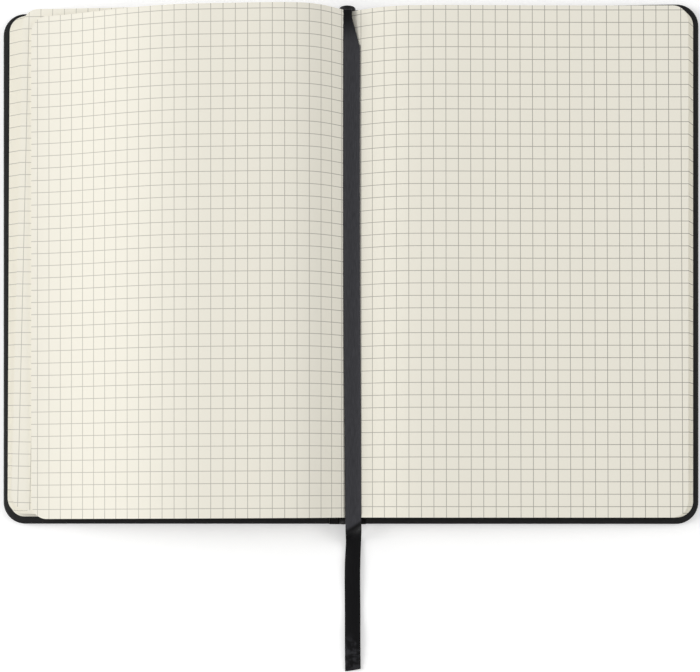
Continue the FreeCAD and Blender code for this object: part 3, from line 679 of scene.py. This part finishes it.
def leaf_tree():
    """Leaves that share a fold: each a thin closed sheet, bent between the guides by its own level."""
    wire, entry = new_tree(
        "stack_of_leaves", "GeometryNodeTree",
        {
            "Int": ("Leaves", "Raised Leaves", "Seed"),
            "Float": (
                "Side", "Width", "Height", "Corner", "Thickness", "Rim", "Ragged", "Arch Radius", "Lift",
                "Slant", *(f"{kind} {measure}" for kind in KINDS for measure in MEASURES),
            ),
            "Vector": ("Arch Middle", "Gutter"),
            "Object": ("Lowest", *KINDS),
            "Material": ("Material",),
        },
        {"Geometry": ("Geometry",)},
    )
    side, width, height, corner = (entry[name] for name in ("Side", "Width", "Height", "Corner"))
    sheet = wire.out(
        "GeometryNodeMeshCube",
        {"Size": (1.0, 1.0, 1.0), "Vertices X": COLUMNS, "Vertices Y": ROWS, "Vertices Z": 2},
    )
    sheet, cell = wire.capture(sheet, "POINT", "VECTOR", "cell", wire.out("GeometryNodeInputPosition"))
    _, _, upright = wire.split(wire.out("GeometryNodeInputNormal"))
    sheet, upright = wire.capture(sheet, "FACE", "FLOAT", "upright", upright)
    points = wire.out("GeometryNodeMeshLine", {"Count": entry["Leaves"], "Offset": (0.0, 0.0, 0.0)})
    leaves = wire.out("GeometryNodeInstanceOnPoints", {"Points": points, "Instance": sheet})
    leaves, leaf = wire.capture(leaves, "INSTANCE", "INT", "leaf", wire.out("GeometryNodeInputIndex"))
    leaves = wire.out("GeometryNodeRealizeInstances", {"Geometry": leaves})
    cell_x, cell_y, cell_z = wire.split(cell)

    # How far across and along the leaf a point lies, with the fore-edge's corners rounded.
    step = cell_x + 0.5
    body = wire.math("POWER", wire.math("MINIMUM", step / BODY_SHARE, 1.0), BODY_CROWDING)
    turn = wire.ramp(step, BODY_SHARE, 1.0, 0.0, math.pi / 2, "LINEAR")
    across = (width - corner) * body + wire.math("SINE", turn) * corner
    half = height / 2.0 - (1.0 - wire.math("COSINE", turn)) * corner
    from_middle = wire.math("ABSOLUTE", cell_y)
    rim_start = 0.5 - 1 / (ROWS - 1)
    inner_rows = wire.ramp(from_middle, 0.0, rim_start, kind="LINEAR")
    last_row = wire.ramp(from_middle, rim_start, 0.5, kind="LINEAR")
    away = inner_rows * (half - entry["Rim"]) + last_row * entry["Rim"]
    along = away * wire.math("SIGN", cell_y) * side
    share = across / width

    # The settled leaves fill the room from the lowest line to the settled one, and the lifted leaves that
    # from the loose line to the lifted one. The one loose leaf lies between the settled line and the
    # loose one. Leaves that aren't settled are raised.
    settled = entry["Leaves"] - entry["Raised Leaves"]
    is_raised = leaf > settled - 0.5
    is_lifted = leaf > settled + 0.5
    settled_share = wire.math("MINIMUM", (leaf + 0.5) / settled, 1.0)
    loose_share = wire.mix(is_lifted, is_raised * entry["Lift"], 1.0)
    first_lifted = settled + 1.0
    steps = wire.math("MAXIMUM", entry["Leaves"] - 1.0 - first_lifted, 1.0)
    lifted_share = is_lifted * ((leaf - first_lifted) / steps)

    def on_guide(name):
        curve = wire.out("GeometryNodeObjectInfo", {"Object": entry[name]}, "Geometry")
        sample = wire.outs("GeometryNodeSampleCurve", {"Curves": curve, "Factor": share}, mode="FACTOR")
        return sample["Position"], sample["Tangent"]

    place, way = on_guide("Lowest")
    for kind, part in zip(KINDS, (settled_share, loose_share, lifted_share)):
        next_place, next_way = on_guide(kind)
        place = wire.mix(part, place, next_place, "VECTOR")
        way = wire.mix(part, way, next_way, "VECTOR")
    way = wire.vector("NORMALIZE", way)

    # The folds lie on the arch of the spine.
    middle = entry["Arch Middle"]
    _, _, middle_z = wire.split(middle)
    spring = wire.combine(side * entry["Arch Radius"], 0.0, middle_z)
    to_gutter = entry["Gutter"] - middle
    gutter_x, _, gutter_z = wire.split(to_gutter)
    gutter_radius = wire.out("ShaderNodeVectorMath", (to_gutter,), "Value", operation="LENGTH")
    foot_angle = wire.ramp(side, -1.0, 1.0, math.pi, 0.0, "LINEAR")
    angle = wire.mix(settled_share, foot_angle, wire.math("ARCTAN2", gutter_z, gutter_x))
    radius = wire.mix(wire.math("POWER", settled_share, 3.0), entry["Arch Radius"], gutter_radius)
    fold = middle + wire.combine(wire.math("COSINE", angle), 0.0, wire.math("SINE", angle)) * radius
    chord = wire.mix(settled_share, spring, entry["Gutter"], "VECTOR")
    place = place + (fold - chord) * wire.ramp(share, 0.0, FOLD_SHARE, 1.0, 0.0)

    def of_kind(measure):
        """A measure of the leaf's own kind."""
        settled_one, loose_one, lifted_one = (entry[f"{kind} {measure}"] for kind in KINDS)
        return wire.mix(is_raised, settled_one, wire.mix(is_lifted, loose_one, lifted_one))

    def uneven(draw):
        """A number from -1 to 1 for each leaf."""
        return wire.out(
            "FunctionNodeRandomValue",
            {"Min": -1.0, "Max": 1.0, "ID": leaf, "Seed": entry["Seed"] + draw},
            "Value", data_type="FLOAT",
        )

    # Each leaf is slipped out, turned, thickened and skewed.
    slip = uneven(0.0) * entry["Ragged"] + of_kind("Reach")
    place = place + way * ((slip - of_kind("Turn") * along) * share)
    way_x, _, way_z = wire.split(way)
    normal = wire.combine(way_z * -1.0, 0.0, way_x) * side
    place = place + normal * (cell_z * entry["Thickness"])
    drift = uneven(7.0) * (entry["Ragged"] * 0.5) + of_kind("Skew") * across
    place = place + wire.combine(0.0, along + drift, 0.0)
    leaves = wire.out("GeometryNodeSetPosition", {"Geometry": leaves, "Position": place})

    # The print's map: millimetres from the fore-edge and from the tail.
    inward = (width - across - entry["Slant"] * along * share) * (1 / MM)
    from_tail = (along + height / 2.0 + of_kind("Shift")) * (1 / MM)
    leaves = wire.out(
        "GeometryNodeStoreNamedAttribute",
        {"Geometry": leaves, "Name": "print", "Value": wire.combine(inward, from_tail)},
        data_type="FLOAT2", domain="CORNER",
    )
    # The broad faces are smooth, and the cut edges flat and sharp.
    broad = wire.math("ABSOLUTE", upright)
    for domain, least in (("FACE", 0.5), ("EDGE", 0.9)):
        leaves = wire.out(
            "GeometryNodeSetShadeSmooth",
            {"Geometry": leaves, "Shade Smooth": broad > least}, domain=domain,
        )
    leaves = wire.out("GeometryNodeRealizeInstances", {"Geometry": leaves})
    leaves = wire.out("GeometryNodeSetMaterial", {"Geometry": leaves, "Material": entry["Material"]})
    return close_tree(wire, {"Geometry": leaves})


class NOTEBOOK_OT_leaves(bpy.types.Operator):
    """Lay the leaves of both stacks, each bent by its own level."""

    bl_idname = "notebook.leaves"
    bl_label = "Leaves"

    def execute(self, context):
        sizes = settings().leaves
        material = squared_material()
        tree = leaf_tree()
        own = {
            name.capitalize(): getattr(sizes, name)
            for name in ("width", "corner", "thickness", "rim", "ragged", "lift", "seed")
        }
        front_lays = (SETTLED_LAY, LOOSE_LAY, LIFTED_LAY)
        for name, side, leaves, raised, slant, lays in (
            ("back_leaves", 1, sizes.back_leaves, 0, BACK_SLANT, (BACK_LAY,) * 3),
            ("front_leaves", -1, sizes.front_leaves, sizes.lifted_leaves + 1, 0.0, front_lays),
        ):
            guides = {"Lowest": flat_curve(f"{name}_lowest", side)}
            measures = {}
            for kind, lay in zip(KINDS, lays):
                guides[kind] = guide_curve(f"{name}_{kind}", lay)
                for measure, unit in MEASURES.items():
                    measures[f"{kind} {measure}"] = lay[measure] * unit
            gutter_x, gutter_z = lays[0]["points"][0]
            stack = add_object(name, bpy.data.meshes.new(name))
            run_tree(stack, tree, {
                "Leaves": leaves,
                "Raised Leaves": raised,
                "Side": float(side),
                "Height": PAGES_HIGH.y - PAGES_LOW.y,
                "Arch Radius": LINING_HIGH.x + GLUE,
                "Arch Middle": (0.0, 0.0, PAGES_LOW.z),
                "Gutter": tuple(Vector((gutter_x, 0, gutter_z)) * MM),
                "Slant": slant,
                "Material": material,
                **own, **measures, **guides,
            })
            for guide in guides.values():
                bpy.data.objects.remove(guide)
            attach(stack, BLOCK)
            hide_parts("pages")
        return {"FINISHED"}


# ---------------- covers

LAYER = 0.98  # of the leatherette's thickness, so that folded layers don't touch
JOINT_STEPS = 12


def cover_outline(sizes, inset):
    """One side of a cover from above, open at the spine: tail, rounded fore-edge corners, head."""
    bend = max(sizes.corner - inset, 0.3 * MM)
    far, up = COVER_HIGH.x - inset, COVER_HIGH.y - inset
    lower = arc((far - bend, bend - up), bend, -90, 0, 12)
    upper = arc((far - bend, up - bend), bend, 0, 90, 12)
    return [(sizes.board_start, -up)] + lower + upper + [(sizes.board_start, up)]


def cover_rings(sizes):
    """Heights and insets of the leatherette, from the outside of a cover round the board and back."""
    top, bend, wrap, turn = COVER_HIGH.z, sizes.edge_round, sizes.wrap, sizes.turn_in
    outside = arc((bend, bend), bend, 180, 270, 6)
    edge = [(top - height, inset) for height, inset in reversed(outside)]
    pared = [(top, turn - 0.2 * MM), (top - 0.1 * MM, turn), (top - wrap, turn)]
    inner = wrap + GLUE
    return outside + edge + pared + [(top - wrap, inner), (wrap, inner)]


class NOTEBOOK_OT_covers(bpy.types.Operator):
    """Wrap each board in leatherette, turned in over its head, tail and fore-edge."""

    bl_idname = "notebook.covers"
    bl_label = "Covers"

    def execute(self, context):
        sizes = settings().covers
        material = shared(leatherette_material)
        for side, body in SIDES:
            mesh = bmesh.new()
            loops = []
            for height, inset in cover_rings(sizes):
                points = [Vector((x, y, height)) for x, y in cover_outline(sizes, inset)]
                loops.append([mesh.verts.new(point) for point in turned(points, side)])
            for lower, upper in zip(loops, loops[1:]):
                for k in range(len(lower) - 1):
                    mesh.faces.new((lower[k], lower[k + 1], upper[k + 1], upper[k]))
            first, last = loops[0], loops[-1]
            mesh.faces.new(first[::-1])
            mesh.faces.new(last)
            mesh.faces.new((first[0], last[0], last[-1], first[-1]))
            mesh.faces.new([loop[0] for loop in loops])
            mesh.faces.new([loop[-1] for loop in reversed(loops)])
            for face in mesh.faces:
                face.smooth = True
            bmesh.ops.recalc_face_normals(mesh, faces=mesh.faces)
            cover = mesh_object(f"{body}_leatherette", mesh, material)
            cover.data.set_sharp_from_angle(angle=math.radians(40))
            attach(cover, body)
            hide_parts(f"{body}_wrap")
        return {"FINISHED"}


def bending_sheets(name, grid, thickness, material):
    """A sheet at each cover, from a grid of points at the back cover."""
    maps = [[(point.x / MM, point.y / MM) for point in row] for row in grid]
    sheets = []
    for side, body in SIDES:
        rows = [turned(row, side) for row in grid]
        sheet = sheet_object(f"{body}_{name}", rows, thickness, maps, material)
        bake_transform(sheet)
        sheets.append(sheet)
    return sheets


def folded_rows(turn_in, layer):
    """Places along the spine of a sheet that is folded over at the head and the tail: (y, height)."""
    half, bend = COVER_HIGH.y, layer / 2
    tail = [(turn_in - half, layer)] + arc((bend - half, bend), bend, 90, 270, 6)
    middle = [(half * k / 4, 0.0) for k in range(-3, 4)]
    return tail + middle + [(-y, z) for y, z in reversed(tail)]


class NOTEBOOK_OT_spine(bpy.types.Operator):
    """Push the spine's leatherette up into an arch and lead it flat into both joints."""

    bl_idname = "notebook.spine"
    bl_label = "Spine and joints"

    def execute(self, context):
        sizes = settings().covers
        material = shared(leatherette_material)
        wrap, radius, bend, start = sizes.wrap, sizes.spine_radius, sizes.joint_round, sizes.joint_start
        low = wrap / 2
        profile = [(-start, low)]
        profile += arc((-radius - bend, low + bend), bend, -90, 0, 6)
        profile += arc((0, PAGES_LOW.z), radius, 180, 0, 24)
        profile += arc((radius + bend, low + bend), bend, 180, 270, 6)
        profile += [(start, low)]
        over_card = wrap + sizes.card + 2 * GLUE
        columns, maps = [], []
        run = 0.0
        for k, (x, z) in enumerate(profile):
            before, after = beside(profile, k)
            slope = Vector((after[0] - before[0], 0, after[1] - before[1])).normalized()
            outward = Vector((-slope.z, 0, slope.x))
            run += math.dist((x, z), before)
            # In the arch the sheet is folded over the card, and in the joints onto itself.
            on_card = min(max((z - low - bend) / bend, 0.0), 1.0)
            column, lay = [], []
            for y, lift in folded_rows(sizes.spine_turn_in, over_card):
                onto_itself = lift * wrap / over_card
                depth = onto_itself + (lift - onto_itself) * on_card
                column.append(Vector((x, y, z)) + outward * depth)
                lay.append((run / MM, y / MM))
            columns.append(column)
            maps.append(lay)
        spine = sheet_object("spine_leatherette", columns, wrap * LAYER, maps, material)
        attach(spine, BLOCK)
        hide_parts("spine_wrap")
        grid = []
        for k in range(JOINT_STEPS + 1):
            x = start + (sizes.board_start - start) * k / JOINT_STEPS
            grid.append([Vector((x, y, low + lift)) for y, lift in folded_rows(sizes.turn_in, wrap)])
        bending_sheets("joint", grid, wrap * LAYER, material)
        return {"FINISHED"}


def endpaper_grid(sizes):
    """Points of the back endpaper: rows from the spine to the fore-edge, each from tail to head."""
    paper, wrap, corner, border, turn_in, board_start = (
        getattr(sizes, name) / MM
        for name in ("endpaper", "wrap", "corner", "border", "turn_in", "board_start")
    )
    far, half, top = COVER_HIGH / MM
    glue = GLUE / MM
    over = top + glue + paper / 2
    inside = over - wrap
    floor = wrap + glue + paper / 2
    wall = board_start - 2 * glue - paper / 2
    # Over a turn-in's edge: how far past the edge, and how high over the board.
    step = [(-0.5, 0.0), (-0.1, 0.15), (0.1, wrap - 0.1), (0.4, wrap)]
    # From the lowest leaf down into the joint, up the board's edge and over the board.
    profile = [(3.3, PAGES_LOW.z / MM - 0.1), (3.35, 1.9), (3.6, 1.2), (4.3, floor + 0.12)]
    profile += [(5.2, floor), (6.6, floor), (wall - 0.25, floor), (wall - 0.05, floor + 0.2)]
    profile += [(wall, floor + 0.6), (wall, inside - 0.35), (wall + 0.1, inside - 0.08)]
    profile += [(x, inside) for x in (wall + 0.4, 20, 50, 80, 110)]
    profile += [(far - turn_in + past, inside + rise) for past, rise in step]
    beyond = [(half - turn_in + past, rise) for past, rise in step]
    beyond.insert(0, (beyond[0][0] / 2, 0.0))
    along = [(-y, rise) for y, rise in reversed(beyond)] + [(0.0, 0.0)] + beyond
    corner, far, half = corner - border, far - border, half - border
    columns = [(x, z, half) for x, z in profile]
    columns += [(x, over, end) for x, end in arc((far - corner, half - corner), corner, 90, 0, 10)]
    grid = []
    for x, z, end in columns:
        room = over - z if z > inside - 0.01 else 0.0
        places = [(-end, wrap), *along, (end, wrap)]
        grid.append([Vector((x, y, z + min(rise, room))) * MM for y, rise in places])
    return grid


class NOTEBOOK_OT_endpapers(bpy.types.Operator):
    """Paste an endpaper inside each cover, down over the turn-ins and through the joint."""

    bl_idname = "notebook.endpapers"
    bl_label = "Endpapers"

    def execute(self, context):
        sizes = settings().covers
        material = paper_material("endpaper", settings().colours.endpaper)
        grid = endpaper_grid(sizes)
        back, front = bending_sheets("endpaper", grid, sizes.endpaper, material)
        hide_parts("back_pastedown")
        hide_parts("front_pastedown")
        return {"FINISHED"}


class NOTEBOOK_OT_inner(bpy.types.Operator):
    """Give the boards, the card in the spine and the lining their materials."""

    bl_idname = "notebook.inner"
    bl_label = "Boards, card and lining"

    def execute(self, context):
        board = paper_material("grey_board", settings().colours.board, 0.2)
        finishes = dict.fromkeys(("front_board", "back_board", "spine_card"), board)
        finishes["spine_lining"] = lining_material()
        for name, material in finishes.items():
            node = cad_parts[name]
            node.data.materials.clear()
            node.data.materials.append(material)
        return {"FINISHED"}


# ---------------- ribbon

# Middle of the ribbon: up from the spine, over the head, down the gutter, over the tail and along
# the table.
RIBBON_ROUTE = [
    (2.1, 103.75, 6.5), (2.1, 103.75, 9.2), (2.05, 101.05, 9.2), (1.9, 0.0, 9.2), (2.65, -97.5, 9.2),
    (2.7, -107.2, 9.2), (2.55, -111.3, 0.4), (1.95, -123.7, 1.3), (2.1, -140.7, 0.5), (2.1, -155.7, 1.5),
    (2.2, -166.1, 0.4),
]
RIBBON_STEPS = 28
FULL_WIDTH, LOST_WIDTH = 0.953, 0.045  # of the width: in the gutter, and what is lost where it narrows
GUTTER_RISE = 0.1 * MM
CREASES, RIPPLES = (1.9, 0.7), (1.7, -0.4)  # how close they are, and how they slant
ASLANT_SLOPE, CUT_SLOPE = 0.62, 0.17


def route_line(name, route):
    """Points of the smooth curve that a route's points control."""
    obj, spline = add_curve(name, "NURBS", 24, len(route))
    for item, (x, y, z) in zip(spline.points, route):
        item.co = (x * MM, y * MM, z * MM, 1)
    spline.order_u = 3
    spline.use_endpoint_u = True
    depsgraph = bpy.context.evaluated_depsgraph_get()
    mesh = bpy.data.meshes.new_from_object(obj.evaluated_get(depsgraph))
    points = [vertex.co.copy() for vertex in mesh.vertices]
    bpy.data.objects.remove(obj)
    bpy.data.meshes.remove(mesh)
    return points


def even_step(value, low, high):
    return min(max((value - low) / (high - low), 0.0), 1.0)


def soft_step(value, low, high):
    share = even_step(value, low, high)
    return share * share * (3 - 2 * share)


def hump(value, rise, top, fall, foot):
    return soft_step(value, rise, top) - soft_step(value, fall, foot)


def folded_under(place, opened, bend):
    """Where a point of the ribbon lies, across and up, when all past the opened width is turned under."""
    past = place - opened + bend
    if past <= 0:
        return place, 0.0
    if past <= math.pi * bend:
        return opened - bend + bend * math.sin(past / bend), bend * (math.cos(past / bend) - 1)
    return opened - bend - (past - math.pi * bend), -2 * bend


def ribbon_section(sizes, run, end):
    """Points across the ribbon at a run, where end is its last run. Each is a place on the flat ribbon,
    and how far that lies out, up, towards the head and back along the ribbon."""
    half = sizes.width / 2
    opened = sizes.width * (0.5 + 0.5 * even_step(run, *UNFOLDED)) + sizes.fold * soft_step(run, *EDGE_OUT)
    kept_width = FULL_WIDTH - LOST_WIDTH * soft_step(run, *NARROWED)
    in_gutter, aslant = hump(run, *IN_GUTTER), hump(run, *ASLANT)
    crumple = sizes.crumple * hump(run, *CRUMPLED)
    crown = sizes.crown * soft_step(run, *PAST_TAIL)
    ripple = sizes.ripple * soft_step(run, *(end - before for before in RIPPLED_END))
    cut = soft_step(run, *(end - before for before in CUT_END))
    points = []
    for j in range(RIBBON_STEPS + 1):
        flat = (2 * j / RIBBON_STEPS - 1) * half
        x, z = folded_under(flat + half, opened, sizes.fold)
        x = (x - half) * kept_width
        bowl = 1 - (x / half) ** 2
        z += in_gutter * (GUTTER_RISE - sizes.tilt * x / half - sizes.sag * bowl)
        z += crown * bowl
        for height, (closeness, slant) in ((crumple, CREASES), (ripple, RIPPLES)):
            z += height * math.sin(closeness * (run + slant * x / MM))
        points.append((flat, x, z, ASLANT_SLOPE * x * aslant, CUT_SLOPE * x * cut))
    return points


class NOTEBOOK_OT_ribbon(bpy.types.Operator):
    """Lay the marker ribbon in the gutter and over the tail."""

    bl_idname = "notebook.ribbon"
    bl_label = "Ribbon"

    def execute(self, context):
        sizes = settings().ribbon
        path = route_line("ribbon_route", RIBBON_ROUTE)
        runs = [0.0]
        for before, after in zip(path, path[1:]):
            runs.append(runs[-1] + (after - before).length)
        total = runs[-1]
        out, to_head = Vector((1, 0, 0)), Vector((0, 1, 0))
        rows, maps = [], []
        for k, point in enumerate(path):
            before, after = beside(path, k)
            way = (after - before).normalized()
            up = way.cross(out).normalized()
            run = runs[k] / MM
            row, lay = [], []
            for flat, x, z, headward, back in ribbon_section(sizes, run, total / MM):
                row.append(point + out * x + up * z + to_head * headward - way * back)
                lay.append((run, flat / MM))
            rows.append(row)
            maps.append(lay)
        ribbon = sheet_object("marker_ribbon", rows, sizes.thickness, maps, ribbon_material())
        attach(ribbon, BLOCK)
        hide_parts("ribbon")
        return {"FINISHED"}


# ---------------- stage

WHITE = (1.0, 1.0, 1.0, 1.0)
LAMPS = {"key": (-1.565, 0.05, 0.664), "fill": (1.5, 0.05, 0.8)}
LAMP_TARGET = Vector((0, -0.02, 0))
CAMERA_TARGET = Vector((0.0014, -0.0988, 0.0105))
CAMERA_SHIFT = 0.244


class NOTEBOOK_OT_stage(bpy.types.Operator):
    """Set the floor, the lamps and the camera."""

    bl_idname = "notebook.stage"
    bl_label = "Stage"

    def execute(self, context):
        sizes = settings().stage
        scene = context.scene
        half = sizes.floor / 2
        data = bpy.data.meshes.new("floor")
        corners = [(-half, -half, 0), (half, -half, 0), (half, half, 0), (-half, half, 0)]
        data.from_pydata(corners, [], [(0, 1, 2, 3)])
        wire = new_material("floor_white")
        rays = wire.outs("ShaderNodeLightPath")
        seen = wire.math("MAXIMUM", rays["Is Camera Ray"], rays["Is Glossy Ray"])
        seen = wire.math("MAXIMUM", seen, rays["Is Transmission Ray"])
        glow = seen * sizes.glow
        pale = (0.95, 0.95, 0.95, 1.0)
        data.materials.append(
            finish_surface(wire, pale, 0.9, 0.0, Emission_Color=WHITE, Emission_Strength=glow)
        )
        add_object("floor", data)

        world = bpy.data.worlds.new("studio")
        wire = cleared(world)
        sky = wire.out("ShaderNodeBackground", {"Color": WHITE, "Strength": sizes.sky})
        wire.add("ShaderNodeOutputWorld", {"Surface": sky})
        scene.world = world
        for name, place in LAMPS.items():
            lamp = bpy.data.lights.new(name, "AREA")
            lamp.shape = "DISK"
            lamp.size = sizes.lamp
            lamp.energy = getattr(sizes, name)
            obj = add_object(name, lamp)
            obj.location = place
            obj.visible_camera = False
            obj.rotation_euler = (LAMP_TARGET - obj.location).to_track_quat("-Z", "Y").to_euler()

        camera = bpy.data.cameras.new("camera")
        camera.sensor_width = 36.0
        camera.lens = sizes.lens
        camera.shift_y = CAMERA_SHIFT
        camera.clip_start = 0.01
        obj = add_object("camera", camera)
        out = Vector((math.sin(sizes.tilt), 0, math.cos(sizes.tilt)))
        obj.location = CAMERA_TARGET + out * sizes.distance
        obj.rotation_euler = (0, sizes.tilt, 0)
        scene.camera = obj
        scene.view_settings.view_transform = "Standard"
        return {"FINISHED"}


# ---------------- panel and run


class NOTEBOOK_PT_panel(bpy.types.Panel):
    """Lists the notebook's pieces and sizes."""

    bl_label = "Grid Notebook"
    bl_idname = "NOTEBOOK_PT_panel"
    bl_space_type = "VIEW_3D"
    bl_region_type = "UI"
    bl_category = "Notebook"

    def draw(self, context):
        for operator in OPERATORS:
            self.layout.operator(operator.bl_idname)
        for group in NotebookSettings.__annotations__:
            box = self.layout.box()
            box.label(text=group.capitalize())
            sizes = getattr(context.scene.notebook, group)
            for name in sizes.__annotations__:
                box.prop(sizes, name)


OPERATORS = (
    NOTEBOOK_OT_ribbon,
    NOTEBOOK_OT_leaves,
    NOTEBOOK_OT_covers,
    NOTEBOOK_OT_spine,
    NOTEBOOK_OT_endpapers,
    NOTEBOOK_OT_inner,
    NOTEBOOK_OT_stage,
)
CLASSES = (
    LeafSizes, CoverSizes, RibbonSizes, Colours, StageSizes, NotebookSettings,
    *OPERATORS, NOTEBOOK_PT_panel,
)


def register():
    for item in CLASSES:
        bpy.utils.register_class(item)
    bpy.types.Scene.notebook = PointerProperty(type=NotebookSettings)


def unregister():
    del bpy.types.Scene.notebook
    for item in reversed(CLASSES):
        bpy.utils.unregister_class(item)


def main():
    register()
    for operator in OPERATORS:
        group, name = operator.bl_idname.split(".")
        getattr(getattr(bpy.ops, group), name)()


if __name__ == "__main__":
    main()
